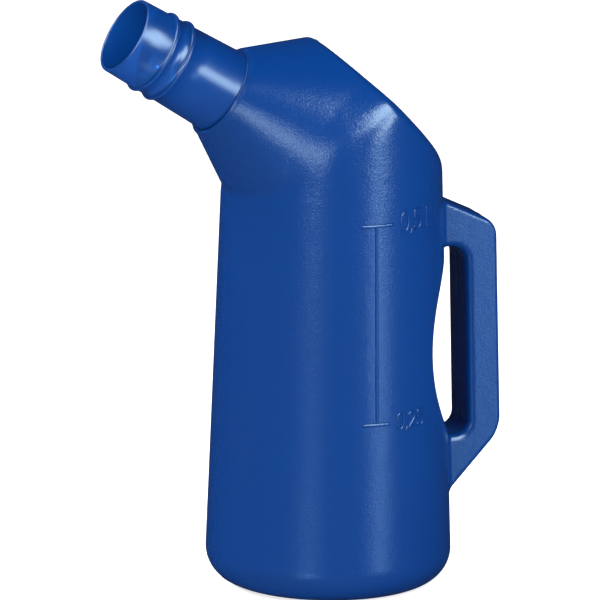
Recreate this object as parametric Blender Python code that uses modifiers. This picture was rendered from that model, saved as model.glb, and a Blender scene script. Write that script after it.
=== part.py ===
"""Half-litre measuring and pouring jug for fuel, in two pieces, in metres, +Z up.

jug_body   the blow-moulded vessel: a round, slightly tapered body, a sloped shoulder that
           runs into a cone for the neck, a hollow handle and a raised measuring scale.
pour_tube  the smooth pouring tube that sits in the collar at the cone's end.

The origin is the centre of the base. The handle points to +X and the pouring tube to -X,
rising at NECK_TILT. The mould's parting plane is y = 0.
"""

import math

import bmesh
import bpy
import numpy as np
from mathutils import Matrix, Vector

# ---- driving dimensions -------------------------------------------------------------------
WALL = 0.0012  # blow-moulded wall
FOOT_RADIUS = 0.0402  # body radius at the base, before its rounding
DRAFT = math.radians(1.86)  # the body narrows upwards by this much on each side
BASE_ROUNDING = 0.0115
BASE_GROOVE_INNER = 0.0080  # a shallow groove runs round the base's flat middle
BASE_GROOVE_OUTER = 0.0240
BASE_GROOVE_RISE = 0.0020

NECK_TILT = math.radians(31.75)  # the neck axis above the horizontal
NECK_HEIGHT = 0.1413  # where the neck axis crosses the body's axis
COLLAR_AT = 0.0458  # along the neck axis from there to the collar's rim
COLLAR_RADIUS = 0.015
COLLAR_DROP = 0.0004  # the collar stands out this much more below the tube than above it
CONE_TILT = math.radians(29.2)  # the axis of the cone behind the collar
CONE_ANGLE = math.radians(33.4)  # half angle of that cone
CONE_SQUEEZE = 0.13  # share by which the cone is narrower across than high, below the neck's start
CONE_SQUEEZE_END = 1.3  # the squeeze stops growing at this many times COLLAR_AT from the collar

ROOF_SLOPE = math.radians(44.85)  # the plane that falls from the cone's top to the handle side
ROOF_HEIGHT = 0.174  # that plane's height on the body's axis
SHOULDER_START = 0.1250  # the body is a plain tapered cylinder below this height
MITRE_SLOPE = math.radians(32.5)  # the plane where the cone takes over from the body
MITRE_SOFTNESS = 0.0050  # of that take-over at the left silhouette
SHOULDER_SOFTNESS = 0.0260  # and over the shoulder's front and back
SHOULDER_RUN = 0.0280  # the softness grows from one to the other over this length
CONE_SOFTNESS = 0.0035
CREST_SOFTNESS = 0.0009  # of the edge between cone and roof, at the top of the jug
EDGE_SOFTNESS = 0.0032  # of the roof's edge further out, over the walls
CREST_X = -0.0050
WALL_EASED_FROM = -0.0020  # left of this x the cone may stand out past the body's wall
WALL_EASE_RATE = 0.5
WALL_EASE_RUN = 0.0100

RECESS_RADIUS = 0.0457  # the finger recess is part of a cylinder across the body
RECESS_X = 0.0712
RECESS_Z = 0.079

HANDLE_WIDTH = 0.0180
HANDLE_ROUNDING = 0.0026
# Corners of the handle in the x-z plane, with the rounding radius of each. The first and the
# last of each list lie inside the body.
HANDLE_OUTER = (
    (0.0300, 0.1280, 0.0),
    (0.0542, 0.1165, 0.0036),
    (0.0564, 0.0473, 0.0034),
    (0.0300, 0.0186, 0.0),
)
HANDLE_INNER = (
    (0.0300, 0.0467, 0.0),
    (0.0454, 0.0467, 0.0048),
    (0.0436, 0.1094, 0.0048),
    (0.0300, 0.1094, 0.0),
)

TUBE_LENGTH = 0.0388  # from the collar's rim to the mouth
TUBE_WALL = 0.0011
TUBE_FOOT_RADIUS = 0.0141
TUBE_MOUTH_RADIUS = 0.01295
TUBE_TAPER = 0.8  # below 1 the tube narrows faster near its foot
TUBE_SEAT_DEPTH = 0.0045  # how far the tube reaches into the collar
SEAT_CLEARANCE = 0.00015
SEAT_END_GAP = 0.0005
BEAD_PLACES = (0.0117, 0.0178)  # from the mouth back to each bead's middle
BEAD_HALF_WIDTH = 0.0009
BEAD_HEIGHT = 0.0009
RIM_ROUNDING = 0.0003

SCALE_TOP = 0.1253  # the 0.5 litre mark
SCALE_BOTTOM = 0.0599  # the 0.25 litre mark
SCALE_ANGLE = math.radians(-87.0)  # the scale's place round the body, from +X
RIB_RADIUS = 0.0006
RIB_SINK = 0.0001  # the rib's centre line lies this far inside the wall's surface
TICKS = ((SCALE_TOP, -0.0049, 0.0056), (SCALE_BOTTOM, -0.0047, 0.0041))  # height, from, to

SEGMENTS = 48
SHOULDER_RINGS = 16
CUTTER_LENGTH = 0.12  # longer than the body is wide
CUTTER_MARGIN = 0.0010  # how far the seat's cutter stands out of the collar

BODY_BLUE = (0.004, 0.052, 0.270)
TUBE_BLUE = (0.004, 0.056, 0.290)
BODY_ROUGHNESS = 0.34
TUBE_ROUGHNESS = 0.26


# ---- scene helpers ------------------------------------------------------------------------
def clear_scene():
    for old in list(bpy.data.objects):
        bpy.data.objects.remove(old)


def collection(name):
    made = bpy.data.collections.new(name)
    bpy.context.scene.collection.children.link(made)
    return made


def plastic(name, colour, roughness):
    made = bpy.data.materials.new(name)
    made.use_nodes = True
    shader = made.node_tree.nodes["Principled BSDF"]
    shader.inputs["Base Color"].default_value = (*colour, 1.0)
    shader.inputs["Roughness"].default_value = roughness
    shader.inputs["Metallic"].default_value = 0.0
    return made


def mesh_object(name, bm, group):
    bmesh.ops.recalc_face_normals(bm, faces=bm.faces)
    mesh = bpy.data.meshes.new(name)
    bm.to_mesh(mesh)
    bm.free()
    made = bpy.data.objects.new(name, mesh)
    group.objects.link(made)
    return made


def as_cutter(obj):
    obj.hide_render = True
    obj.display_type = "WIRE"
    return obj


def add_boolean(obj, other, operation):
    modifier = obj.modifiers.new(other.name, "BOOLEAN")
    modifier.operation = operation
    modifier.object = other
    modifier.solver = "EXACT"


def shade(obj, material, sharp_degrees=30):
    obj.data.materials.clear()
    obj.data.materials.append(material)
    obj.data.shade_smooth()
    obj.data.set_sharp_from_angle(angle=math.radians(sharp_degrees))


# ---- the vessel's form --------------------------------------------------------------------
NECK_AXIS = np.array((-math.cos(NECK_TILT), 0.0, math.sin(NECK_TILT)))
NECK_ORIGIN = np.array((0.0, 0.0, NECK_HEIGHT))
NECK_UP = np.array((math.sin(NECK_TILT), 0.0, math.cos(NECK_TILT)))
COLLAR_CENTRE = NECK_ORIGIN + COLLAR_AT * NECK_AXIS
CONE_CENTRE = COLLAR_CENTRE - COLLAR_DROP * NECK_UP
CONE_AXIS = np.array((-math.cos(CONE_TILT), 0.0, math.sin(CONE_TILT)))


def body_radius(z):
    return FOOT_RADIUS - math.tan(DRAFT) * z


def soft_max(a, b, softness):
    """The larger of two distances, with the edge between their surfaces rounded."""
    gap = np.clip(0.5 + 0.5 * (a - b) / softness, 0.0, 1.0)
    return b + (a - b) * gap + softness * gap * (1.0 - gap)


def mitre_foot():
    """Where the cone's underside meets the body's wall, in the x-z plane."""
    fall = CONE_TILT + CONE_ANGLE
    start_x = CONE_CENTRE[0] - COLLAR_RADIUS * math.sin(CONE_TILT)
    start_z = CONE_CENTRE[2] - COLLAR_RADIUS * math.cos(CONE_TILT)
    wall_slope = math.tan(DRAFT)
    run = (-body_radius(start_z) - start_x) / (math.cos(fall) + wall_slope * math.sin(fall))
    return start_x + run * math.cos(fall), start_z - run * math.sin(fall)


MITRE_X, MITRE_Z = mitre_foot()


def vessel_distance(points, inset):
    """Roughly the distance of each point outside the vessel's form, moved in by inset."""
    x, y, z = points.T
    wall = (np.hypot(x, y) - FOOT_RADIUS + math.tan(DRAFT) * z) * math.cos(DRAFT) + inset
    behind = (CONE_CENTRE - points) @ CONE_AXIS
    across = (x - CONE_CENTRE[0]) * CONE_AXIS[2] - (z - CONE_CENTRE[2]) * CONE_AXIS[0]
    squeeze = 1.0 + CONE_SQUEEZE * np.clip(behind / COLLAR_AT, 0.0, CONE_SQUEEZE_END)
    cone_radius = COLLAR_RADIUS + behind * math.tan(CONE_ANGLE)
    cone = (np.hypot(across, y * squeeze) - cone_radius) * math.cos(CONE_ANGLE) + inset
    # Left of the body's wall only the cone counts, so the wall's limit is eased away there.
    past = np.maximum(WALL_EASED_FROM - x, 0.0)
    eased_wall = wall - WALL_EASE_RATE * past**2 / (past + WALL_EASE_RUN)
    upper = soft_max(cone, eased_wall, CONE_SOFTNESS)
    above_mitre = (z - MITRE_Z) * math.cos(MITRE_SLOPE) - (x - MITRE_X) * math.sin(MITRE_SLOPE)
    spread = np.clip((x - MITRE_X) / SHOULDER_RUN, 0.0, 1.0)
    softness = MITRE_SOFTNESS + (SHOULDER_SOFTNESS - MITRE_SOFTNESS) * spread
    share = np.clip(0.5 + above_mitre / softness, 0.0, 1.0)
    share = share * share * (3.0 - 2.0 * share)
    form = wall * (1.0 - share) + upper * share
    roof = (z - ROOF_HEIGHT) * math.cos(ROOF_SLOPE) + x * math.sin(ROOF_SLOPE) + inset
    outwards = np.clip(np.hypot(x - CREST_X, y) / FOOT_RADIUS, 0.0, 1.0)
    return soft_max(form, roof, CREST_SOFTNESS + (EDGE_SOFTNESS - CREST_SOFTNESS) * outwards)


def ring_on_form(centre, across, inset):
    """Points where rays from centre, in the plane of across and Y, leave the form."""
    turns = np.arange(SEGMENTS) * (2.0 * math.pi / SEGMENTS)
    rays = np.outer(np.cos(turns), across) + np.outer(np.sin(turns), (0.0, 1.0, 0.0))
    near = np.zeros(SEGMENTS)
    far = np.full(SEGMENTS, CUTTER_LENGTH / 2.0)
    for _ in range(40):
        middle = (near + far) / 2.0
        inside = vessel_distance(centre + rays * middle[:, None], inset) < 0.0
        near = np.where(inside, middle, near)
        far = np.where(inside, far, middle)
    return centre + rays * near[:, None]


def flat_ring(radius, z):
    turns = np.arange(SEGMENTS) * (2.0 * math.pi / SEGMENTS)
    heights = np.full(SEGMENTS, z)
    return np.stack((radius * np.cos(turns), radius * np.sin(turns), heights), 1)


def base_rings(inset):
    """Rings from the base's flat middle out to the plain wall."""
    rings = []
    for share in (0.0, 0.25, 0.5, 0.75, 1.0):
        radius = BASE_GROOVE_INNER + (BASE_GROOVE_OUTER - BASE_GROOVE_INNER) * share
        rise = BASE_GROOVE_RISE * (0.5 - 0.5 * math.cos(2.0 * math.pi * share))
        rings.append(flat_ring(radius, rise + inset))
    rounding = BASE_ROUNDING - inset
    rounded_from = body_radius(BASE_ROUNDING) - BASE_ROUNDING
    for step in range(7):
        turn = (math.pi / 2.0 - DRAFT) * step / 6.0
        radius = rounded_from + rounding * math.sin(turn)
        rings.append(flat_ring(radius, BASE_ROUNDING - rounding * math.cos(turn)))
    return rings


def shoulder_rings(inset, collar_along):
    """Rings on planes that turn about one line, from level to square with the neck axis."""
    last_centre = NECK_ORIGIN + collar_along * NECK_AXIS
    reach_back = (last_centre[2] - SHOULDER_START) / math.cos(NECK_TILT)
    pivot_x = last_centre[0] - reach_back * math.sin(NECK_TILT)
    pivot = np.array((pivot_x, 0.0, SHOULDER_START))
    rings = []
    for step in range(SHOULDER_RINGS + 1):
        share = step / SHOULDER_RINGS
        turn = (math.pi / 2.0 - NECK_TILT) * share
        across = np.array((math.cos(turn), 0.0, math.sin(turn)))
        distance = -pivot_x * (1.0 - share) + reach_back * share
        rings.append(ring_on_form(pivot + across * distance, across, inset))
    return rings


def closed_form(name, rings, floor_middle, group):
    """A closed mesh through the rings, with a point in the floor and a flat lid."""
    bm = bmesh.new()
    rows = [[bm.verts.new(p) for p in ring] for ring in rings]
    middle = bm.verts.new(floor_middle)
    for i in range(SEGMENTS):
        j = (i + 1) % SEGMENTS
        bm.faces.new((middle, rows[0][i], rows[0][j]))
        for low, high in zip(rows, rows[1:]):
            bm.faces.new((low[i], low[j], high[j], high[i]))
    bm.faces.new(rows[-1])
    return mesh_object(name, bm, group)


def vessel(name, inset, collar_along, group):
    """The body from its base to the cone's end, as one closed solid."""
    rings = base_rings(inset) + shoulder_rings(inset, collar_along)
    # The flat middle's facets meet off centre, so the origin lies inside one of them.
    off_centre = -BASE_GROOVE_INNER / 2.0
    half_step = math.pi / SEGMENTS
    middle = (off_centre * math.cos(half_step), off_centre * math.sin(half_step), inset)
    return closed_form(name, rings, middle, group)


# ---- the handle ---------------------------------------------------------------------------
def rounded_corners(corners, inset):
    """A path through the corners, moved sideways by inset, with each corner as an arc."""
    points = [Vector(c[:2]) for c in corners]
    normals = []
    for a, b in zip(points, points[1:]):
        along = (b - a).normalized()
        normals.append(Vector((along.y, -along.x)))
    moved = [points[0] + normals[0] * inset]
    for before, corner, after in zip(normals, points[1:-1], normals[1:]):
        half = (before + after).normalized()
        moved.append(corner + half * (inset / half.dot(before)))
    moved.append(points[-1] + normals[-1] * inset)
    path = [moved[0]]
    for i in range(1, len(moved) - 1):
        back = (moved[i - 1] - moved[i]).normalized()
        ahead = (moved[i + 1] - moved[i]).normalized()
        half_angle = back.angle(ahead) / 2.0
        turns_inwards = normals[i - 1].dot(ahead) > 0.0
        radius = corners[i][2] + (-inset if turns_inwards else inset)
        centre = moved[i] + (back + ahead).normalized() * (radius / math.sin(half_angle))
        start = moved[i] + back * (radius / math.tan(half_angle)) - centre
        sweep = start.angle_signed(moved[i] + ahead * (radius / math.tan(half_angle)) - centre)
        for step in range(6):
            path.append(centre + Matrix.Rotation(-sweep * step / 5.0, 2) @ start)
    path.append(moved[-1])
    return path


def handle_solid(name, inset, group):
    """The C-shaped handle as a flat outline with thickness; its ends lie inside the body."""
    outline = rounded_corners(HANDLE_OUTER, inset) + rounded_corners(HANDLE_INNER, inset)
    bm = bmesh.new()
    face = bm.faces.new([bm.verts.new((p.x, -HANDLE_WIDTH / 2.0 + inset, p.y)) for p in outline])
    grown = bmesh.ops.extrude_face_region(bm, geom=[face])["geom"]
    tops = [v for v in grown if isinstance(v, bmesh.types.BMVert)]
    bmesh.ops.translate(bm, verts=tops, vec=(0.0, HANDLE_WIDTH - 2.0 * inset, 0.0))
    made = mesh_object(name, bm, group)
    bevel = made.modifiers.new("edges", "BEVEL")
    bevel.width = HANDLE_ROUNDING - inset
    bevel.segments = 2
    bevel.limit_method = "ANGLE"
    bevel.angle_limit = math.radians(60)
    return made


# ---- cutters and ribs ---------------------------------------------------------------------
def cylinder(name, radius, depth, centre, direction, group):
    bm = bmesh.new()
    bmesh.ops.create_cone(
        bm, cap_ends=True, segments=SEGMENTS, radius1=radius, radius2=radius, depth=depth
    )
    made = mesh_object(name, bm, group)
    # Local X stays square with world Y, so the facets line up with those of the rings.
    z_axis = Vector(direction).normalized()
    y_axis = Vector((0.0, 1.0, 0.0)) if abs(z_axis.y) < 0.5 else Vector((0.0, 0.0, 1.0))
    x_axis = y_axis.cross(z_axis)
    made.matrix_world = Matrix.Translation(Vector(centre)) @ Matrix(
        ((x_axis.x, y_axis.x, z_axis.x), (x_axis.y, y_axis.y, z_axis.y), (x_axis.z, y_axis.z, z_axis.z))
    ).to_4x4()
    return made


def wall_point(angle, z):
    radius = body_radius(z) - RIB_SINK
    return Vector((radius * math.cos(angle), radius * math.sin(angle), z))


def rib(name, points, group):
    """A raised rib of the scale: a round wire half sunk in the wall."""
    curve = bpy.data.curves.new(name, "CURVE")
    curve.dimensions = "3D"
    curve.bevel_depth = RIB_RADIUS
    curve.bevel_resolution = 2
    curve.use_fill_caps = True
    spline = curve.splines.new("POLY")
    spline.points.add(len(points) - 1)
    for target, point in zip(spline.points, points):
        target.co = (*point, 1.0)
    wire = bpy.data.objects.new(name + "_wire", curve)
    group.objects.link(wire)
    bpy.context.view_layer.update()
    evaluated = wire.evaluated_get(bpy.context.evaluated_depsgraph_get())
    mesh = bpy.data.meshes.new_from_object(evaluated)
    bpy.data.objects.remove(wire)
    bm = bmesh.new()
    bm.from_mesh(mesh)
    bmesh.ops.remove_doubles(bm, verts=bm.verts, dist=1e-6)
    return mesh_object(name, bm, group)


def scale_ribs(group):
    upright = rib(
        "scale_line",
        [wall_point(SCALE_ANGLE, SCALE_BOTTOM), wall_point(SCALE_ANGLE, SCALE_TOP)],
        group,
    )
    made = [upright]
    for number, (z, start, end) in enumerate(TICKS):
        steps = 8
        angles = [
            SCALE_ANGLE + (start + (end - start) * i / steps) / body_radius(z)
            for i in range(steps + 1)
        ]
        made.append(rib(f"scale_tick_{number}", [wall_point(a, z) for a in angles], group))
    return made


# ---- the two pieces -----------------------------------------------------------------------
def jug_body(group, cutters):
    body = vessel("jug_body", 0.0, COLLAR_AT, group)
    cavity = as_cutter(vessel("cavity", WALL, COLLAR_AT - TUBE_SEAT_DEPTH, cutters))
    across = (0.0, 1.0, 0.0)
    recess_centre = (RECESS_X, 0.0, RECESS_Z)
    recess = cylinder("recess", RECESS_RADIUS, CUTTER_LENGTH, recess_centre, across, cutters)
    inner_recess = cylinder(
        "inner_recess", RECESS_RADIUS + WALL, CUTTER_LENGTH, recess_centre, across, cutters
    )
    handle = handle_solid("handle_outer", 0.0, cutters)
    handle_void = handle_solid("handle_void", WALL, cutters)
    seat_radius = TUBE_FOOT_RADIUS + SEAT_CLEARANCE
    seat_depth = TUBE_SEAT_DEPTH + SEAT_END_GAP
    seat_middle = COLLAR_CENTRE - NECK_AXIS * ((seat_depth - CUTTER_MARGIN) / 2.0)
    seat = cylinder(
        "seat", seat_radius, seat_depth + CUTTER_MARGIN, seat_middle, NECK_AXIS, cutters
    )
    add_boolean(cavity, as_cutter(inner_recess), "DIFFERENCE")
    add_boolean(cavity, as_cutter(handle_void), "UNION")
    add_boolean(body, as_cutter(recess), "DIFFERENCE")
    add_boolean(body, as_cutter(handle), "UNION")
    for mark in scale_ribs(cutters):
        add_boolean(body, as_cutter(mark), "UNION")
    add_boolean(body, cavity, "DIFFERENCE")
    add_boolean(body, as_cutter(seat), "DIFFERENCE")
    shade(body, plastic("body_plastic", BODY_BLUE, BODY_ROUGHNESS))
    return body


def tube_radius(along):
    """The tube's outer radius at a distance from the collar's rim towards the mouth."""
    share = max(along, 0.0) / TUBE_LENGTH
    return TUBE_FOOT_RADIUS + (TUBE_MOUTH_RADIUS - TUBE_FOOT_RADIUS) * share**TUBE_TAPER


def tube_outline():
    """Radius against distance from the collar's rim: down the outside and back up the bore."""
    outline = [(TUBE_MOUTH_RADIUS - RIM_ROUNDING, TUBE_LENGTH)]
    outline.append((TUBE_MOUTH_RADIUS, TUBE_LENGTH - RIM_ROUNDING))
    for place in BEAD_PLACES:
        middle = TUBE_LENGTH - place
        for step in range(7):
            turn = math.pi * step / 6.0
            radius = tube_radius(middle) + BEAD_HEIGHT * math.sin(turn)
            outline.append((radius, middle + BEAD_HALF_WIDTH * math.cos(turn)))
    bore_places = [TUBE_LENGTH * share for share in (0.0, 0.2, 0.45, 0.7)]
    for along in reversed(bore_places[:3]):
        outline.append((tube_radius(along), along))
    outline.append((TUBE_FOOT_RADIUS, -TUBE_SEAT_DEPTH))
    outline.append((TUBE_FOOT_RADIUS - TUBE_WALL, -TUBE_SEAT_DEPTH))
    for along in bore_places:
        outline.append((tube_radius(along) - TUBE_WALL, along))
    outline.append((TUBE_MOUTH_RADIUS - TUBE_WALL, TUBE_LENGTH - RIM_ROUNDING))
    outline.append((TUBE_MOUTH_RADIUS - TUBE_WALL + RIM_ROUNDING, TUBE_LENGTH))
    return outline


def pour_tube(group):
    """The turned tube, standing in the collar's seat."""
    outline = tube_outline()
    bm = bmesh.new()
    verts = [bm.verts.new((r, 0.0, s)) for r, s in outline]
    for a, b in zip(verts, verts[1:] + verts[:1]):
        bm.edges.new((a, b))
    mesh = bpy.data.meshes.new("pour_tube")
    bm.to_mesh(mesh)
    bm.free()
    tube = bpy.data.objects.new("pour_tube", mesh)
    group.objects.link(tube)
    tube.location = Vector(COLLAR_CENTRE)
    tube.rotation_euler = (0.0, NECK_TILT - math.pi / 2.0, 0.0)
    screw = tube.modifiers.new("turn", "SCREW")
    screw.axis = "Z"
    screw.steps = SEGMENTS
    screw.render_steps = SEGMENTS
    screw.use_merge_vertices = True
    screw.merge_threshold = 0.00001
    screw.use_smooth_shade = True
    mesh.materials.append(plastic("tube_plastic", TUBE_BLUE, TUBE_ROUGHNESS))
    return tube


def main():
    clear_scene()
    group = collection("fuel_jug")
    cutters = collection("cutters")
    jug_body(group, cutters)
    pour_tube(group)


main()
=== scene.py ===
"""The looks of the fuel measuring and pouring jug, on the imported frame.

The jug's form is worked out in millimetres as a distance function, meshed as one smooth skin,
and placed in the frame's metres. The handle points to +X and the pouring tube to -X.
"""
import math

import bmesh
import bpy
import numpy as np
from mathutils import Matrix, Vector


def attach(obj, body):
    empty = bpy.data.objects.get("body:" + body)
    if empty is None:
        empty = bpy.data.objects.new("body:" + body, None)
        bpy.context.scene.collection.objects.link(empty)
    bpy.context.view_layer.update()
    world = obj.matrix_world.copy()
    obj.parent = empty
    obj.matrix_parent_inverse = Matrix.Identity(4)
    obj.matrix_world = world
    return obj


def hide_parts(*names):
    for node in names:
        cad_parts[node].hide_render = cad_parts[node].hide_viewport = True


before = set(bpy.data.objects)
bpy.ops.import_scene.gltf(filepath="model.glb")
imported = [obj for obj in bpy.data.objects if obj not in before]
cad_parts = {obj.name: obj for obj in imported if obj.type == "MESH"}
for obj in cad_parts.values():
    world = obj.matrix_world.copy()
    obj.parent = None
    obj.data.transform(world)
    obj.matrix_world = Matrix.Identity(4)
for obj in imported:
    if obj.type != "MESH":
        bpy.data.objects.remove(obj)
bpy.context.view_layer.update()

MM = 0.001

# ---- the jug's dimensions, in millimetres -------------------------------------------------
WALL = 1.2
FOOT_RADIUS = 40.19  # body radius at the base, before its rounding
DRAFT = math.radians(1.86)  # the body narrows upwards by this much on each side
BASE_ROUNDING = 11.5
BASE_GROOVE_INNER = 8.0  # a shallow groove runs round the base's flat middle
BASE_GROOVE_OUTER = 24.0
BASE_GROOVE_RISE = 2.0

NECK_TILT = math.radians(31.75)  # the neck axis above the horizontal
NECK_HEIGHT = 141.3  # where the neck axis crosses the body's axis
COLLAR_AT = 45.8  # along the neck axis from there to the collar's rim
COLLAR_RADIUS = 15.0
COLLAR_DROP = 0.4  # the collar's outer circle is centred this far below the neck axis
COLLAR_ROUNDING = 0.3
COLLAR_SKIN_END = 1.6  # the skin stops this far before the rim, where the collar's rings start
COLLAR_FLARE = 0.5  # how much wider the collar is half way from its rim to the skin's end
CONE_TILT = math.radians(29.2)  # the axis of the cone behind the collar
CONE_ANGLE = math.radians(33.4)  # half angle of that cone
CONE_SQUEEZE = 0.13  # share by which the cone is narrower across than high, one COLLAR_AT back
CONE_SQUEEZE_END = 1.3  # the squeeze stops growing at this many times COLLAR_AT

ROOF_SLOPE = math.radians(44.85)  # the plane that falls from the cone's top to the handle side
ROOF_HEIGHT = 174.0  # that plane's height on the body's axis
CREST_SOFTNESS = 0.9  # of the edge between cone and roof, at the top of the jug
EDGE_SOFTNESS = 3.2  # of the roof's edge further out, over the walls
CREST_X = -5.0
CONE_SOFTNESS = 3.5
WALL_EASED_FROM = -2.0  # left of this x the cone may stand out past the body's wall
WALL_EASE_RATE = 0.5
WALL_EASE_RUN = 10.0
MITRE_SLOPE = math.radians(32.5)  # the plane where the cone takes over from the body
MITRE_SOFTNESS = 5.0  # of that take-over where the cone's underside meets the wall
SHOULDER_SOFTNESS = 26.0  # of the same take-over on the shoulder's front and back
SHOULDER_RUN = 28.0  # the softness grows from one to the other over this length

RECESS_RADIUS = 45.7  # the finger recess is part of a cylinder across the body
RECESS_X = 71.2
RECESS_Z = 79.0
RECESS_ROUNDING = 1.2

HANDLE_HALF_WIDTH = 9.0
HANDLE_ROUNDING = 1.35
# Edges in the x-z plane: a point on the edge and the direction that faces away from the handle.
HANDLE_TOP = ((53.9, 116.7), math.radians(64.7))
HANDLE_BACK = ((55.29, 82.4), math.radians(1.8))
HANDLE_FOOT = ((56.6, 47.5), math.radians(-42.6))
HANDLE_TOP_ROUNDING = 3.6
HANDLE_FOOT_ROUNDING = 3.4
HANDLE_INSIDE_FROM = 22.0  # the handle's form starts at this x, inside the body
HOLE_TOP = 109.4  # the opening between handle and body
HOLE_BOTTOM = 46.7
HOLE_SIDE = ((44.5, 78.0), math.radians(1.6))
HOLE_ROUNDING = 4.8
HOLE_EDGE_ROUNDING = 2.4
HANDLE_FILLET = 1.6

SEAM_HEIGHT = 0.12  # the ridge that the mould's parting plane leaves
SEAM_HALF_WIDTH = 0.24
SEAM_FADE = 3.0  # the seam grows to its full height over this much above the base

TUBE_LENGTH = 38.77  # from the collar's rim to the mouth
TUBE_WALL = 1.1
TUBE_FOOT_RADIUS = 14.1
TUBE_MOUTH_RADIUS = 12.95
TUBE_TAPER = 0.8  # below 1 the tube narrows faster near its foot
TUBE_SEAT_DEPTH = 4.5  # how far the tube reaches into the collar
TUBE_SEGMENTS = 160
PLAIN_SECTIONS = (14.0, 9.0, 4.5, 1.0)  # on the outside between beads and collar
BORE_SECTIONS = (0.0, 6.0, 12.0, 18.0, 24.0, 30.0)
RIM_ROUNDING = 0.38
SEAT_RADIUS = 14.17
SEAT_CHAMFER_ACROSS = 0.1
SEAT_CHAMFER_ALONG = 0.15
SEAT_END_GAP = 0.2
BEAD_PLACES = (11.7, 17.8)  # from the mouth back to each middle
BEAD_HEIGHT = 0.9
BEAD_HALF_WIDTH = 0.75
BEAD_FILLET = 0.2
BEAD_FOOT_TURN = 0.08  # share of the half turn that each fillet takes from the bead's foot

SCALE_ANGLE = math.radians(-87.0)
HALF_LITRE = 125.3
QUARTER_LITRE = 59.9
HALF_TICK = (-4.9, 5.6)  # from and to, along the wall
QUARTER_TICK = (-4.7, 4.1)
HALF_FIGURES = 6.3  # height of the figures at the half-litre mark
QUARTER_FIGURES = 5.2
FIGURES_ABOVE_TICK = 0.3
RIB_WIDTH = 1.15
RIB_HEIGHT = 0.50
UPRIGHT_HEIGHT = 0.40
FIGURE_WIDTH = 0.85
FIGURE_HEIGHT = 0.42
RIB_STEP = 0.5  # about the length of the straight pieces along a rib
RIB_SECTIONS = 7
RIB_FULLNESS = 0.7  # below 1 the rib's top is flatter than a half ellipse
RIB_EDGE_SINK = 0.03  # how far the rib's edges, root and end points lie under the wall's surface
RIB_ROOT_SINK = 0.35
RIB_END_SINK = 0.2

# How the skin is meshed, in millimetres where it isn't a count or a share.
SETTLE_ROUNDS = 4
SETTLE_SLOPE_STEP = 0.02
LONGEST_MOVE = 0.6
RELAX_ROUNDS = 2
RELAX_SHARE = 0.5
SEAM_BAND = 1.2  # mesh points this near the parting plane keep their distance from it
ON_SEAM = 0.05
ON_SKIN = 0.02
COLLAR_MARGIN = 0.2
NORMAL_SLOPE_STEP = 0.05

# ---- the form as a distance function ------------------------------------------------------
AXIS = (-math.cos(NECK_TILT), math.sin(NECK_TILT))  # the neck's direction in x and z
CONE_AXIS = (-math.cos(CONE_TILT), math.sin(CONE_TILT))
CONE_X = COLLAR_AT * AXIS[0] - COLLAR_DROP * AXIS[1]
CONE_Z = NECK_HEIGHT + COLLAR_AT * AXIS[1] + COLLAR_DROP * AXIS[0]


def round_edge(a, b, radius):
    """What is inside both a and b, with a rounded edge."""
    outside = np.hypot(np.maximum(a + radius, 0.0), np.maximum(b + radius, 0.0))
    return np.minimum(np.maximum(a, b), -radius) + outside


def round_corner(a, b, radius):
    """What is inside a or b, with a fillet where they meet."""
    return -round_edge(-a, -b, radius)


def soft_max(a, b, softness):
    share = np.clip(0.5 + 0.5 * (a - b) / softness, 0.0, 1.0)
    return b + (a - b) * share + softness * share * (1.0 - share)


def half_plane(x, z, edge):
    (edge_x, edge_z), direction = edge
    return (x - edge_x) * math.cos(direction) + (z - edge_z) * math.sin(direction)


def along_neck(x, z):
    return x * AXIS[0] + (z - NECK_HEIGHT) * AXIS[1]


def mitre_foot():
    """Where the cone's underside meets the body's wall, in the x-z plane."""
    fall = CONE_TILT + CONE_ANGLE
    start_x = CONE_X - COLLAR_RADIUS * math.sin(CONE_TILT)
    start_z = CONE_Z - COLLAR_RADIUS * math.cos(CONE_TILT)
    slope = math.tan(DRAFT)
    radius_there = FOOT_RADIUS - slope * start_z
    run = (-radius_there - start_x) / (math.cos(fall) + slope * math.sin(fall))
    return start_x + run * math.cos(fall), start_z - run * math.sin(fall)


MITRE_X, MITRE_Z = mitre_foot()


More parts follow.
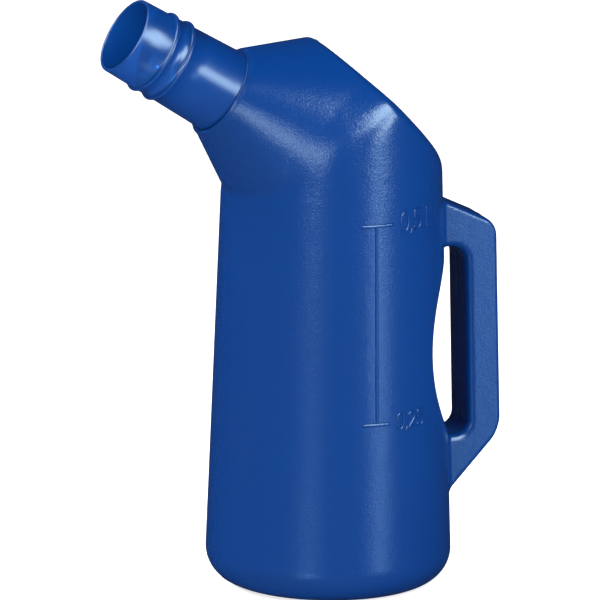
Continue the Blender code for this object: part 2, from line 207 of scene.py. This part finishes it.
def vessel_form(x, y, z, inset):
    """The vessel without its handle, moved in by inset."""
    from_axis = np.hypot(x, y)
    wall = (from_axis - FOOT_RADIUS + math.tan(DRAFT) * z) * math.cos(DRAFT) + inset
    behind = (CONE_X - x) * CONE_AXIS[0] + (CONE_Z - z) * CONE_AXIS[1]
    across = (x - CONE_X) * CONE_AXIS[1] - (z - CONE_Z) * CONE_AXIS[0]
    squeeze = 1.0 + CONE_SQUEEZE * np.clip(behind / COLLAR_AT, 0.0, CONE_SQUEEZE_END)
    cone_radius = COLLAR_RADIUS + behind * math.tan(CONE_ANGLE)
    cone = (np.hypot(across, y * squeeze) - cone_radius) * math.cos(CONE_ANGLE) + inset
    past = np.maximum(WALL_EASED_FROM - x, 0.0)
    eased_wall = wall - WALL_EASE_RATE * past**2 / (past + WALL_EASE_RUN)
    upper = soft_max(cone, eased_wall, CONE_SOFTNESS)
    above = (z - MITRE_Z) * math.cos(MITRE_SLOPE) - (x - MITRE_X) * math.sin(MITRE_SLOPE)
    spread = np.clip((x - MITRE_X) / SHOULDER_RUN, 0.0, 1.0)
    softness = MITRE_SOFTNESS + (SHOULDER_SOFTNESS - MITRE_SOFTNESS) * spread
    share = np.clip(0.5 + above / softness, 0.0, 1.0)
    share = share * share * (3.0 - 2.0 * share)
    form = wall * (1.0 - share) + upper * share
    roof = (z - ROOF_HEIGHT) * math.cos(ROOF_SLOPE) + x * math.sin(ROOF_SLOPE) + inset
    outwards = np.clip(np.hypot(x - CREST_X, y) / FOOT_RADIUS, 0.0, 1.0)
    form = soft_max(form, roof, CREST_SOFTNESS + (EDGE_SOFTNESS - CREST_SOFTNESS) * outwards)
    groove = (from_axis - BASE_GROOVE_INNER) / (BASE_GROOVE_OUTER - BASE_GROOVE_INNER)
    rise = BASE_GROOVE_RISE * (0.5 - 0.5 * np.cos(2.0 * math.pi * np.clip(groove, 0.0, 1.0)))
    form = round_edge(form, rise - z + inset, BASE_ROUNDING - inset)
    recess = RECESS_RADIUS - np.hypot(x - RECESS_X, z - RECESS_Z) + inset
    return round_edge(form, recess, RECESS_ROUNDING)


def handle_form(x, y, z):
    back = half_plane(x, z, HANDLE_BACK)
    outline = round_edge(half_plane(x, z, HANDLE_TOP), back, HANDLE_TOP_ROUNDING)
    outline = round_edge(outline, half_plane(x, z, HANDLE_FOOT), HANDLE_FOOT_ROUNDING)
    hole = round_edge(z - HOLE_TOP, half_plane(x, z, HOLE_SIDE), HOLE_ROUNDING)
    hole = round_edge(hole, HOLE_BOTTOM - z, HOLE_ROUNDING)
    bar = round_edge(outline, np.abs(y) - HANDLE_HALF_WIDTH, HANDLE_ROUNDING)
    bar = round_edge(bar, -hole, HOLE_EDGE_ROUNDING)
    return np.maximum(bar, HANDLE_INSIDE_FROM - x)


def jug_skin(x, y, z):
    """The outside of the whole moulding, with the fine seam of the mould's parting plane."""
    whole = round_corner(vessel_form(x, y, z, 0.0), handle_form(x, y, z), HANDLE_FILLET)
    seam = SEAM_HEIGHT * np.clip(z / SEAM_FADE, 0.0, 1.0)
    return whole - seam * np.exp(-((y / SEAM_HALF_WIDTH) ** 2))


def jug_cavity(x, y, z):
    return vessel_form(x, y, z, WALL)


# ---- meshing a form -----------------------------------------------------------------------
def levels(*stretches):
    """Grid levels from (start, end, step) stretches that follow one another."""
    parts = []
    for start, end, step in stretches:
        count = max(int(round((end - start) / step)), 1)
        parts.append(np.linspace(start, end, count, endpoint=False))
    parts.append([stretches[-1][1]])
    return np.concatenate(parts)


def mirrored(positive):
    return np.concatenate((-positive[::-1], positive))


def cell_points(values, grid):
    """One point in each cell that the surface crosses, and each cell's point number."""
    inside = values < 0.0
    shape = tuple(n - 1 for n in values.shape)
    corner_count = np.zeros(shape, np.int8)
    for i, j, k in np.ndindex(2, 2, 2):
        corner_count += inside[i : i + shape[0], j : j + shape[1], k : k + shape[2]]
    active = (corner_count > 0) & (corner_count < 8)
    number = np.full(shape, -1, np.int64)
    number[active] = np.arange(active.sum())
    cells = np.argwhere(active)
    total = np.zeros((len(cells), 3))
    crossings = np.zeros(len(cells))
    for direction in range(3):
        others = [a for a in range(3) if a != direction]
        for side in np.ndindex(2, 2):
            start = cells.copy()
            start[:, others[0]] += side[0]
            start[:, others[1]] += side[1]
            end = start.copy()
            end[:, direction] += 1
            a = values[tuple(start.T)]
            b = values[tuple(end.T)]
            crossed = (a < 0.0) != (b < 0.0)
            share = np.where(crossed, a / np.where(crossed, a - b, 1.0), 0.0)
            for axis in range(3):
                low = grid[axis][start[:, axis]]
                high = grid[axis][end[:, axis]]
                total[:, axis] += np.where(crossed, low + (high - low) * share, 0.0)
            crossings += crossed
    return total / crossings[:, None], number, inside


def cell_quads(number, inside):
    """A quad of the four cells round each grid edge that the surface crosses."""
    quads = []
    for direction in range(3):
        u, v = (direction + 1) % 3, (direction + 2) % 3
        low = np.moveaxis(inside, (direction, u, v), (0, 1, 2))
        cells = np.moveaxis(number, (direction, u, v), (0, 1, 2))
        crossed = low[:-1, 1:-1, 1:-1] != low[1:, 1:-1, 1:-1]
        i, j, k = np.nonzero(crossed)
        leaving = low[i, j + 1, k + 1]
        quad = np.stack(
            (cells[i, j, k], cells[i, j + 1, k], cells[i, j + 1, k + 1], cells[i, j, k + 1]), 1
        )
        quad[~leaving] = quad[~leaving][:, ::-1]
        quads.append(quad)
    return np.concatenate(quads)


def gradient(form, points, step):
    slopes = []
    for axis in range(3):
        shift = np.zeros(3)
        shift[axis] = step
        ahead = form(*(points + shift).T)
        behind = form(*(points - shift).T)
        slopes.append((ahead - behind) / (2.0 * step))
    return np.stack(slopes, 1)


def settle(form, points):
    """Moves each point onto the form's surface along the slope there."""
    for _ in range(SETTLE_ROUNDS):
        slope = gradient(form, points, SETTLE_SLOPE_STEP)
        length = np.maximum((slope**2).sum(1), 1e-4)
        move = form(*points.T) / length
        points = points - slope * np.clip(move, -LONGEST_MOVE, LONGEST_MOVE)[:, None]
    return points


def relax(form, points, quads, rounds):
    """Evens out the mesh by moving points towards their neighbours' middle, on the surface."""
    for _ in range(rounds):
        total = np.zeros_like(points)
        count = np.zeros(len(points))
        for corner in range(4):
            here = quads[:, corner]
            for other in (quads[:, (corner + 1) % 4], quads[:, corner - 1]):
                np.add.at(total, here, points[other])
                np.add.at(count, here, 1)
        middle = total / count[:, None]
        from_seam = np.abs(points[:, 1])
        moved = points + RELAX_SHARE * (middle - points)
        moved[:, 1] = np.where(from_seam < SEAM_BAND, points[:, 1], moved[:, 1])
        moved[from_seam < ON_SEAM, 1] = 0.0
        points = settle(form, moved)
    return points


def skin_mesh(form, xs, ys, zs, rounds):
    values = form(xs[:, None, None], ys[None, :, None], zs[None, None, :])
    points, number, inside = cell_points(values, (xs, ys, zs))
    quads = cell_quads(number, inside)
    points = settle(form, points)
    return relax(form, points, quads, rounds), quads


# ---- scene helpers ------------------------------------------------------------------------
def new_object(name, mesh):
    made = bpy.data.objects.new(name, mesh)
    bpy.context.scene.collection.objects.link(made)
    return made


def finish_piece(obj, material):
    obj.data.materials.clear()
    obj.data.materials.append(material)
    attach(obj, "root")
    return obj


def bmesh_from(points, quads):
    bm = bmesh.new()
    verts = [bm.verts.new(p) for p in points]
    bm.verts.ensure_lookup_table()
    for quad in quads:
        bm.faces.new([verts[i] for i in quad])
    return bm


# ---- the moulded jug ----------------------------------------------------------------------
NECK_AXIS = Vector((AXIS[0], 0.0, AXIS[1]))
NECK_UP = Vector((AXIS[1], 0.0, -AXIS[0]))
NECK_START = Vector((0.0, 0.0, NECK_HEIGHT))
OUTER_CUT = COLLAR_AT - COLLAR_SKIN_END
INNER_CUT = COLLAR_AT - TUBE_SEAT_DEPTH


def cut_square_to_neck(bm, along):
    """Takes away what lies beyond a plane across the neck and returns the open edge."""
    bmesh.ops.bisect_plane(
        bm,
        geom=list(bm.verts) + list(bm.edges) + list(bm.faces),
        dist=1e-4,
        plane_co=NECK_START + NECK_AXIS * along,
        plane_no=NECK_AXIS,
        clear_outer=True,
    )
    return [e for e in bm.edges if e.is_boundary]


def neck_point(radius, along, turn):
    sideways = NECK_UP * math.cos(turn) + Vector((0.0, 1.0, 0.0)) * math.sin(turn)
    return NECK_START + NECK_AXIS * along + sideways * radius


def add_collar_ring(bm, edges, radius, along, drop):
    """Grows the open edge by one ring, dropped by so much from the neck's axis."""
    grown = bmesh.ops.extrude_edge_only(bm, edges=edges)["geom"]
    for v in (g for g in grown if isinstance(g, bmesh.types.BMVert)):
        offset = v.co - NECK_START
        turn = math.atan2(offset.y, offset.dot(NECK_UP))
        v.co = neck_point(radius, along, turn) - NECK_UP * drop
    return [g for g in grown if isinstance(g, bmesh.types.BMEdge)]


def collar_profile():
    """Radius, place along the neck and drop, over the collar's rim and down its seat."""
    before_rim = COLLAR_SKIN_END / 2.0
    profile = [(COLLAR_RADIUS + COLLAR_FLARE, COLLAR_AT - before_rim, COLLAR_DROP)]
    for step in range(4):
        turn = math.pi / 2.0 * step / 3.0
        rim_radius = COLLAR_RADIUS - COLLAR_ROUNDING * (1.0 - math.cos(turn))
        rim_along = COLLAR_AT - COLLAR_ROUNDING * (1.0 - math.sin(turn))
        profile.append((rim_radius, rim_along, COLLAR_DROP))
    profile.append((SEAT_RADIUS + SEAT_CHAMFER_ACROSS, COLLAR_AT, 0.0))
    profile.append((SEAT_RADIUS, COLLAR_AT - SEAT_CHAMFER_ALONG, 0.0))
    profile.append((SEAT_RADIUS, INNER_CUT, 0.0))
    return profile


def outer_skin():
    """The outside on a grid that is finer at the parting seam, the handle and the base."""
    at_seam = ((0.11, 0.33, 0.22), (0.33, 1.2, 0.4))
    at_handle_side = (6.0, 10.5, 0.6)
    levels_y = mirrored(levels(*at_seam, (1.2, 6.0, 1.0), at_handle_side, (10.5, 42.5, 1.0)))
    levels_x = levels((-50.5, 24.0, 1.0), (24.0, 57.5, 0.75))
    levels_z = levels((-1.5, 12.0, 0.8), (12.0, 182.0, 1.0))
    return skin_mesh(jug_skin, levels_x, levels_y, levels_z, RELAX_ROUNDS)


def inner_skin():
    """The inside of the vessel, on a coarser grid."""
    step = 1.6
    levels_x = levels((-49.0, 40.0, step))
    levels_y = mirrored(levels((0.6, 41.0, step)))
    levels_z = levels((0.0, 181.0, step))
    return skin_mesh(jug_cavity, levels_x, levels_y, levels_z, RELAX_ROUNDS)


def make_jug():
    outer = bmesh_from(*outer_skin())
    edges = cut_square_to_neck(outer, OUTER_CUT)
    for radius, along, drop in collar_profile():
        edges = add_collar_ring(outer, edges, radius, along, drop)
    inner_points, inner_quads = inner_skin()
    inner = bmesh_from(inner_points, inner_quads[:, ::-1])
    cut_square_to_neck(inner, INNER_CUT)
    part = bpy.data.meshes.new("cavity")
    inner.to_mesh(part)
    inner.free()
    outer.from_mesh(part)
    bpy.data.meshes.remove(part)
    bmesh.ops.bridge_loops(outer, edges=[e for e in outer.edges if e.is_boundary])
    bmesh.ops.recalc_face_normals(outer, faces=outer.faces)
    for face in outer.faces:
        face.smooth = True
    mesh = bpy.data.meshes.new("jug_moulding")
    outer.to_mesh(mesh)
    outer.free()
    set_skin_normals(mesh)
    mesh.transform(Matrix.Scale(MM, 4))
    return new_object("jug_moulding", mesh)


def set_skin_normals(mesh):
    """Takes the normals of the outer skin from the form itself, so reflections stay smooth."""
    points = np.array([v.co for v in mesh.vertices])
    normals = np.array([v.normal for v in mesh.vertices])
    on_skin = np.abs(jug_skin(*points.T)) < ON_SKIN
    on_skin &= along_neck(points[:, 0], points[:, 2]) < OUTER_CUT - COLLAR_MARGIN
    slope = gradient(jug_skin, points[on_skin], NORMAL_SLOPE_STEP)
    normals[on_skin] = slope / np.linalg.norm(slope, axis=1)[:, None]
    mesh.normals_split_custom_set_from_vertices(normals)


# ---- the pouring tube ---------------------------------------------------------------------
def bead(middle, base_radius):
    """A round bead's outline with small fillets at its feet, from the mouth's side."""
    outline = [(base_radius, middle + BEAD_HALF_WIDTH + BEAD_FILLET)]
    for step in range(9):
        turn = math.pi * (BEAD_FOOT_TURN + (1.0 - 2.0 * BEAD_FOOT_TURN) * step / 8.0)
        radius = base_radius + BEAD_HEIGHT * math.sin(turn)
        outline.append((radius, middle + BEAD_HALF_WIDTH * math.cos(turn)))
    outline.append((base_radius, middle - BEAD_HALF_WIDTH - BEAD_FILLET))
    return outline


def arc(centre_radius, centre_along, size, start, end, steps):
    points = []
    for step in range(steps + 1):
        turn = math.radians(start + (end - start) * step / steps)
        points.append((centre_radius + size * math.cos(turn), centre_along + size * math.sin(turn)))
    return points


def tube_radius(along):
    """Outer radius at a distance from the collar's rim."""
    share = along / TUBE_LENGTH
    return TUBE_FOOT_RADIUS + (TUBE_MOUTH_RADIUS - TUBE_FOOT_RADIUS) * share**TUBE_TAPER


def tube_outline():
    """Radius against distance from the collar's rim: down the outside and back up the bore."""
    rim_along = TUBE_LENGTH - RIM_ROUNDING
    outline = arc(TUBE_MOUTH_RADIUS - RIM_ROUNDING, rim_along, RIM_ROUNDING, 90.0, 0.0, 5)
    for place in BEAD_PLACES:
        middle = TUBE_LENGTH - place
        outline += bead(middle, tube_radius(middle))
    for along in PLAIN_SECTIONS:
        outline.append((tube_radius(along), along))
    outline.append((TUBE_FOOT_RADIUS, 0.0))
    outline.append((TUBE_FOOT_RADIUS, SEAT_END_GAP - TUBE_SEAT_DEPTH))
    outline.append((TUBE_FOOT_RADIUS - TUBE_WALL, SEAT_END_GAP - TUBE_SEAT_DEPTH))
    for along in BORE_SECTIONS:
        outline.append((tube_radius(along) - TUBE_WALL, along))
    bore = TUBE_MOUTH_RADIUS - TUBE_WALL
    outline += arc(bore + RIM_ROUNDING, rim_along, RIM_ROUNDING, 180.0, 90.0, 5)
    return outline


def make_tube():
    turns = [2.0 * math.pi * i / TUBE_SEGMENTS for i in range(TUBE_SEGMENTS)]
    bm = bmesh.new()
    rings = []
    for radius, along in tube_outline():
        rings.append([bm.verts.new(neck_point(radius, COLLAR_AT + along, t)) for t in turns])
    for ring, following in zip(rings, rings[1:] + rings[:1]):
        for i in range(TUBE_SEGMENTS):
            j = (i + 1) % TUBE_SEGMENTS
            bm.faces.new((ring[i], ring[j], following[j], following[i]))
    bmesh.ops.recalc_face_normals(bm, faces=bm.faces)
    mesh = bpy.data.meshes.new("pouring_tube")
    bm.to_mesh(mesh)
    bm.free()
    mesh.transform(Matrix.Scale(MM, 4))
    mesh.shade_smooth()
    mesh.set_sharp_from_angle(angle=math.radians(50))
    return new_object("pouring_tube", mesh)


# ---- the measuring scale ------------------------------------------------------------------
def wall_point(sideways, height, lift):
    """A point over the wall: millimetres round from the scale's line, up, and out."""
    radius = FOOT_RADIUS - math.tan(DRAFT) * height
    angle = SCALE_ANGLE + sideways / radius
    return Vector(((radius + lift) * math.cos(angle), (radius + lift) * math.sin(angle), height))


def smooth_path(path, step):
    """The path with extra points, so that it follows the wall's curve."""
    points = [Vector(path[0])]
    for a, b in zip(path, path[1:]):
        run = (Vector(b) - Vector(a)).length
        count = max(int(run / step), 1)
        for i in range(1, count + 1):
            points.append(Vector(a).lerp(Vector(b), i / count))
    return points


def add_rib(bm, path, width, height):
    """A raised rib along a path on the wall, round on top and closed underneath."""
    points = smooth_path(path, RIB_STEP)
    closed = (points[0] - points[-1]).length < 1e-6
    if closed:
        points = points[:-1]
    count = len(points)
    rows = []
    for i, point in enumerate(points):
        before = points[i - 1] if closed or i > 0 else point
        after = points[(i + 1) % count] if closed or i < count - 1 else point
        run = (after - before).normalized()
        side = Vector((-run.y, run.x))
        row = []
        for s in range(RIB_SECTIONS):
            turn = math.pi * s / (RIB_SECTIONS - 1)
            offset = side * (-math.cos(turn) * width / 2.0)
            lift = height * math.sin(turn) ** RIB_FULLNESS - RIB_EDGE_SINK
            row.append(bm.verts.new(wall_point(point.x + offset.x, point.y + offset.y, lift)))
        row.append(bm.verts.new(wall_point(point.x, point.y, -RIB_ROOT_SINK)))
        rows.append(row)
    pairs = list(zip(rows, rows[1:]))
    if closed:
        pairs.append((rows[-1], rows[0]))
    for row, following in pairs:
        for s in range(RIB_SECTIONS + 1):
            t = (s + 1) % (RIB_SECTIONS + 1)
            bm.faces.new((row[s], row[t], following[t], following[s]))
    if not closed:
        add_rib_end(bm, rows[0], points[0], points[0] - points[1], width)
        add_rib_end(bm, rows[-1], points[-1], points[-1] - points[-2], width)


def add_rib_end(bm, row, point, outwards, width):
    """A rounded end: the last section shrinks over two more rings to a point."""
    outwards = outwards.normalized()
    section = [v.co.copy() for v in row]
    centre = wall_point(point.x, point.y, -RIB_END_SINK)
    previous = row
    for share in (0.35, 0.7):
        reach = outwards * (width / 2.0 * share)
        size = math.sqrt(1.0 - share**2)
        shift = wall_point(point.x + reach.x, point.y + reach.y, -RIB_END_SINK) - centre
        ring = [bm.verts.new(centre + (co - centre) * size + shift) for co in section]
        for s in range(len(ring)):
            t = (s + 1) % len(ring)
            bm.faces.new((previous[s], previous[t], ring[t], ring[s]))
        previous = ring
    reach = outwards * (width / 2.0)
    tip = bm.verts.new(wall_point(point.x + reach.x, point.y + reach.y, -RIB_END_SINK))
    for s in range(len(previous)):
        bm.faces.new((previous[s], previous[(s + 1) % len(previous)], tip))


def bow(centre, half_width, half_height, start, end, steps):
    """Points on a stretch of an ellipse, by angle in degrees from its right-hand side."""
    points = []
    for step in range(steps + 1):
        turn = math.radians(start + (end - start) * step / steps)
        x = centre[0] + half_width * math.cos(turn)
        points.append((x, centre[1] + half_height * math.sin(turn)))
    return points


# Each figure is one unit high with its middle at (0, 0), and is a list of strokes.
def figure_zero():
    return [bow((0.0, 0.0), 0.26, 0.5, 0.0, 360.0, 24)]


def figure_two():
    top = bow((0.0, 0.22), 0.26, 0.28, 160.0, -35.0, 10)
    return [top + [(-0.27, -0.5), (0.28, -0.5)]]


def figure_five():
    top = [(0.24, 0.5), (-0.18, 0.5), (-0.22, 0.06)]
    return [top + bow((0.0, -0.18), 0.27, 0.32, 110.0, -150.0, 14)]


def figure_comma():
    return [[(0.03, -0.42), (-0.06, -0.66)]]


def letter_l():
    return [[(0.0, 0.5), (0.0, -0.5)]]


def add_figures(bm, figures, height, level):
    """Figures given as (strokes, sideways place of the middle), centred on a level."""
    for strokes, place in figures:
        for stroke in strokes:
            path = [(place + x * height, level + y * height) for x, y in stroke]
            add_rib(bm, path, FIGURE_WIDTH, FIGURE_HEIGHT)


def make_scale():
    bm = bmesh.new()
    add_rib(bm, [(0.0, QUARTER_LITRE), (0.0, HALF_LITRE)], RIB_WIDTH, UPRIGHT_HEIGHT)
    for level, tick in ((HALF_LITRE, HALF_TICK), (QUARTER_LITRE, QUARTER_TICK)):
        add_rib(bm, [(end, level) for end in tick], RIB_WIDTH, RIB_HEIGHT)
    half = (
        (figure_zero(), 10.8),
        (figure_comma(), 13.6),
        (figure_five(), 16.4),
        (letter_l(), 21.3),
    )
    quarter = (
        (figure_zero(), 8.7),
        (figure_comma(), 11.2),
        (figure_two(), 13.5),
        (figure_five(), 17.3),
    )
    add_figures(bm, half, HALF_FIGURES, HALF_LITRE + FIGURES_ABOVE_TICK)
    add_figures(bm, quarter, QUARTER_FIGURES, QUARTER_LITRE + FIGURES_ABOVE_TICK)
    bmesh.ops.recalc_face_normals(bm, faces=bm.faces)
    mesh = bpy.data.meshes.new("measuring_scale")
    bm.to_mesh(mesh)
    bm.free()
    mesh.transform(Matrix.Scale(MM, 4))
    mesh.shade_smooth()
    return new_object("measuring_scale", mesh)


# ---- materials ----------------------------------------------------------------------------
CLOUD_SCALE = 22.0  # repeats of the clouds of colour and gloss per metre
GLOSS_SPREAD = 0.035  # how far the roughness strays to either side
DIMPLES_PER_GRAIN = 0.16  # how often the dimples repeat, as a share of the grain
FLOOR_COLOUR = (0.93, 0.93, 0.93)
FLOOR_GLOW = 0.75
PLASTIC_IOR = 1.54
PLASTIC_SHINE = 0.80
SHINE_TINT = (0.60, 0.84, 1.0, 1.0)


def node(tree, kind, place, **inputs):
    made = tree.nodes.new(kind)
    made.location = place
    for name, value in inputs.items():
        made.inputs[name.replace("_", " ")].default_value = value
    return made


def moulded_plastic(name, colour, darker, roughness, grain_size, grain_depth):
    """Polyethylene with cloudy colour, uneven gloss and a fine grain, given in millimetres."""
    made = bpy.data.materials.new(name)
    made.use_nodes = True
    tree = made.node_tree
    shader = tree.nodes["Principled BSDF"]
    place = node(tree, "ShaderNodeTexCoord", (-1100, 0))
    cloud = node(tree, "ShaderNodeTexNoise", (-850, 250), Detail=3.0, Roughness=0.55)
    cloud.inputs["Scale"].default_value = CLOUD_SCALE
    tint = node(tree, "ShaderNodeMix", (-350, 250))
    tint.data_type = "RGBA"
    tint.inputs["A"].default_value = (*colour, 1.0)
    tint.inputs["B"].default_value = (*darker, 1.0)
    gloss = node(tree, "ShaderNodeMapRange", (-350, 0))
    gloss.inputs["To Min"].default_value = roughness - GLOSS_SPREAD
    gloss.inputs["To Max"].default_value = roughness + GLOSS_SPREAD
    grain = node(tree, "ShaderNodeTexNoise", (-850, -250), Detail=2.0, Roughness=0.6)
    grain.inputs["Scale"].default_value = 1.0 / (grain_size * MM)
    dimples = node(tree, "ShaderNodeTexNoise", (-850, -500), Detail=1.0)
    dimples.inputs["Scale"].default_value = DIMPLES_PER_GRAIN / (grain_size * MM)
    relief = node(tree, "ShaderNodeMath", (-550, -350))
    relief.operation = "ADD"
    bump = node(tree, "ShaderNodeBump", (-300, -350), Strength=1.0)
    bump.inputs["Distance"].default_value = grain_depth * MM
    link = tree.links.new
    for texture in (cloud, grain, dimples):
        link(place.outputs["Object"], texture.inputs["Vector"])
    link(cloud.outputs["Fac"], tint.inputs["Factor"])
    link(tint.outputs["Result"], shader.inputs["Base Color"])
    link(cloud.outputs["Fac"], gloss.inputs["Value"])
    link(gloss.outputs["Result"], shader.inputs["Roughness"])
    link(grain.outputs["Fac"], relief.inputs[0])
    link(dimples.outputs["Fac"], relief.inputs[1])
    link(relief.outputs["Value"], bump.inputs["Height"])
    link(bump.outputs["Normal"], shader.inputs["Normal"])
    shader.inputs["IOR"].default_value = PLASTIC_IOR
    shader.inputs["Specular IOR Level"].default_value = PLASTIC_SHINE
    shader.inputs["Specular Tint"].default_value = SHINE_TINT
    return made


def body_material():
    return moulded_plastic(
        "body_plastic",
        colour=(0.0012, 0.0345, 0.184),
        darker=(0.0010, 0.0300, 0.161),
        roughness=0.23,
        grain_size=0.65,
        grain_depth=0.07,
    )


def tube_material():
    return moulded_plastic(
        "tube_plastic",
        colour=(0.0012, 0.0350, 0.188),
        darker=(0.0010, 0.0310, 0.167),
        roughness=0.245,
        grain_size=0.9,
        grain_depth=0.010,
    )


def floor_material():
    """A pale floor with a glow that only the camera sees, so that it renders as near white."""
    made = bpy.data.materials.new("pale_floor")
    made.use_nodes = True
    tree = made.node_tree
    shader = tree.nodes["Principled BSDF"]
    shader.inputs["Base Color"].default_value = (*FLOOR_COLOUR, 1.0)
    shader.inputs["Roughness"].default_value = 0.9
    shader.inputs["Emission Color"].default_value = (1.0, 1.0, 1.0, 1.0)
    seen = node(tree, "ShaderNodeLightPath", (-700, 0))
    glow = node(tree, "ShaderNodeMath", (-350, 0))
    glow.operation = "MULTIPLY"
    glow.inputs[1].default_value = FLOOR_GLOW
    tree.links.new(seen.outputs["Is Camera Ray"], glow.inputs[0])
    tree.links.new(glow.outputs["Value"], shader.inputs["Emission Strength"])
    return made


# ---- stage --------------------------------------------------------------------------------
WHITE = (1.0, 1.0, 1.0)
PALE_BLUE = (0.50, 0.74, 1.0)
LIGHTS_ROUND = Vector((0.0, 0.0, 0.10))  # the lights face this point, in metres
LIGHT_DISTANCE = 1.0
AMBIENT_STRENGTH = 0.02


def make_floor():
    bm = bmesh.new()
    bmesh.ops.create_grid(bm, x_segments=1, y_segments=1, size=4.0)
    mesh = bpy.data.meshes.new("floor")
    bm.to_mesh(mesh)
    bm.free()
    made = new_object("floor", mesh)
    made.data.materials.append(floor_material())
    made.location.z = -0.2 * MM  # just clear of the base, which lies in the plane z = 0
    made.visible_glossy = False
    made.visible_shadow = False  # lets the lights that reach below the floor's level through


def soft_light(name, place, target, width, height, power, colour):
    data = bpy.data.lights.new(name, "AREA")
    data.shape = "RECTANGLE"
    data.size = width
    data.size_y = height
    data.energy = power
    data.color = colour
    made = bpy.data.objects.new(name, data)
    bpy.context.scene.collection.objects.link(made)
    made.location = Vector(place)
    made.rotation_mode = "QUATERNION"
    made.rotation_quaternion = (Vector(target) - Vector(place)).to_track_quat("-Z", "Y")
    return made


def light_place(azimuth, elevation):
    """A light's place from what it faces: azimuth from +X, elevation above the horizon."""
    turn = math.radians(azimuth)
    rise = math.radians(elevation)
    level = math.cos(rise)
    away = Vector((math.cos(turn) * level, math.sin(turn) * level, math.sin(rise)))
    return away * LIGHT_DISTANCE


def make_lights():
    # Name, azimuth and elevation in degrees, width and height in metres, watts and colour.
    for name, azimuth, elevation, width, height, power, colour in (
        ("right_low", -62.0, -13.0, 0.24, 0.30, 0.50, PALE_BLUE),
        ("right_strip", -60.0, 9.0, 0.34, 0.34, 3.0, WHITE),
        ("right_high", -74.0, 37.0, 0.56, 0.62, 10.0, WHITE),
        ("left_strip", -128.0, 9.0, 0.24, 0.34, 1.15, WHITE),
        ("left_low", -129.0, -24.0, 0.24, 0.20, 0.42, PALE_BLUE),
        ("left_side", -162.0, 38.0, 0.50, 0.50, 3.0, WHITE),
        ("back_left", 155.0, 40.0, 0.60, 0.60, 12.5, WHITE),
    ):
        place = LIGHTS_ROUND + light_place(azimuth, elevation)
        soft_light(name, place, LIGHTS_ROUND, width, height, power, colour)


def make_mouth_light():
    """A narrow weak beam that brightens the inside of the mouth."""
    size = 0.03
    power = 0.0085
    mouth = (NECK_START + NECK_AXIS * (COLLAR_AT + TUBE_LENGTH)) * MM
    place = mouth + light_place(-148.0, 30.0)
    beam = soft_light("mouth_beam", place, mouth, size, size, power, WHITE)
    beam.data.spread = math.radians(2.5)


def make_world():
    world = bpy.data.worlds.new("studio")
    world.use_nodes = True
    background = world.node_tree.nodes["Background"]
    background.inputs["Color"].default_value = (1.0, 1.0, 1.0, 1.0)
    background.inputs["Strength"].default_value = AMBIENT_STRENGTH
    bpy.context.scene.world = world
    bpy.context.scene.view_settings.view_transform = "Standard"


def make_camera():
    """A long lens in front and a little to the left, turned a little about its own axis."""
    azimuth = math.radians(-20.83)
    elevation = math.radians(13.47)
    roll = math.radians(0.6)
    distance = 6.0
    view_width = 0.1944  # what the picture spans at the jug, in metres
    target = Vector((0.0, 0.0, view_width / 2.0))
    data = bpy.data.cameras.new("camera")
    data.sensor_width = 36.0
    data.lens = data.sensor_width * distance / view_width
    data.clip_end = 20.0
    data.shift_x = -0.0511667
    data.shift_y = -0.0218333
    made = bpy.data.objects.new("camera", data)
    bpy.context.scene.collection.objects.link(made)
    back = Vector((
        math.sin(azimuth) * math.cos(elevation),
        -math.cos(azimuth) * math.cos(elevation),
        math.sin(elevation),
    ))
    made.location = target + back * distance
    made.rotation_mode = "QUATERNION"
    turn = (-back).to_track_quat("-Z", "Y")
    made.rotation_quaternion = turn @ Matrix.Rotation(roll, 3, "Z").to_quaternion()
    bpy.context.scene.camera = made


body_plastic = body_material()
tube_plastic = tube_material()

jug = finish_piece(make_jug(), body_plastic)
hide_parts("jug_body")
finish_piece(make_scale(), body_plastic)
tube = finish_piece(make_tube(), tube_plastic)
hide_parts("pour_tube")

make_floor()
make_lights()
make_mouth_light()
make_world()
make_camera()
